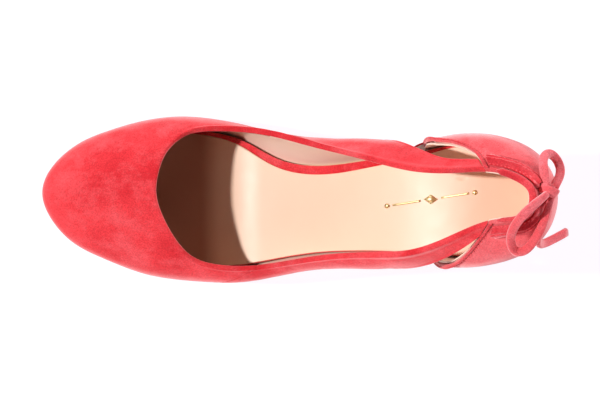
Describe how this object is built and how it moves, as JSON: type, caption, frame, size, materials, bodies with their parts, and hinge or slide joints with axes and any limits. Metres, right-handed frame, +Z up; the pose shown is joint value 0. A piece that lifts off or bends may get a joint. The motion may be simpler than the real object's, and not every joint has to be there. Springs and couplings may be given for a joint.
{
  "type": "high heel pump",
  "caption": "Left high heel pump in coral suede with an almond toe, side cut-outs, a heel counter laced with a small bow and a covered slim heel.",
  "frame": {"origin": "on the floor under the middle of the shoe, leaving the bow out", "axes": "+Z up, toe towards -X, heel towards +X, inner (arch) side towards +Y"},
  "size_m": [0.2401, 0.0801, 0.15],
  "materials": {
    "suede": "coral red kid suede with a short nap",
    "suede_trim": "folded and stitched suede strips",
    "lace": "flat folded suede lace",
    "lining": "smooth cream lining leather",
    "sock": "smooth nude sock leather with a soft gloss",
    "foam": "latex foam sheet",
    "board": "cellulose board",
    "stiffener": "resin stiffened non-woven",
    "tape": "woven nylon tape",
    "outsole": "smooth tan sole leather",
    "heel_plastic": "moulded",
    "tip": "moulded hard rubber",
    "steel": "plain"
  },
  "bodies": {
    "root": {"outsole": "outsole", "shank": "steel", "sole_filler": "board", "insole_board": "board", "insole_wrap": "suede", "sock_pad": "foam", "sock_lining": "sock", "heel_core": "heel_plastic", "heel_cover": "suede", "heel_tip": "tip", "tip_pin": "steel", "heel_tube": "steel", "heel_screw": "steel", "heel_nails": "steel", "vamp": "suede", "vamp_lining": "lining", "toe_puff": "stiffener", "topline_tape": "tape", "quarter_inner": "suede", "quarter_outer": "suede", "quarter_lining_inner": "lining", "quarter_lining_outer": "lining", "counter": "suede", "counter_stiffener": "stiffener", "counter_lining": "lining", "counter_binding_inner": "suede_trim", "counter_binding_outer": "suede_trim", "collar_binding": "suede_trim", "casing_inner": "suede_trim", "casing_outer": "suede_trim", "lace_run_inner": "lace", "lace_run_outer": "lace", "bow_knot": "lace", "bow_loop_inner": "lace", "bow_loop_outer": "lace", "lace_tail_inner": "lace", "lace_tail_outer": "lace"}
  },
  "joints": []
}
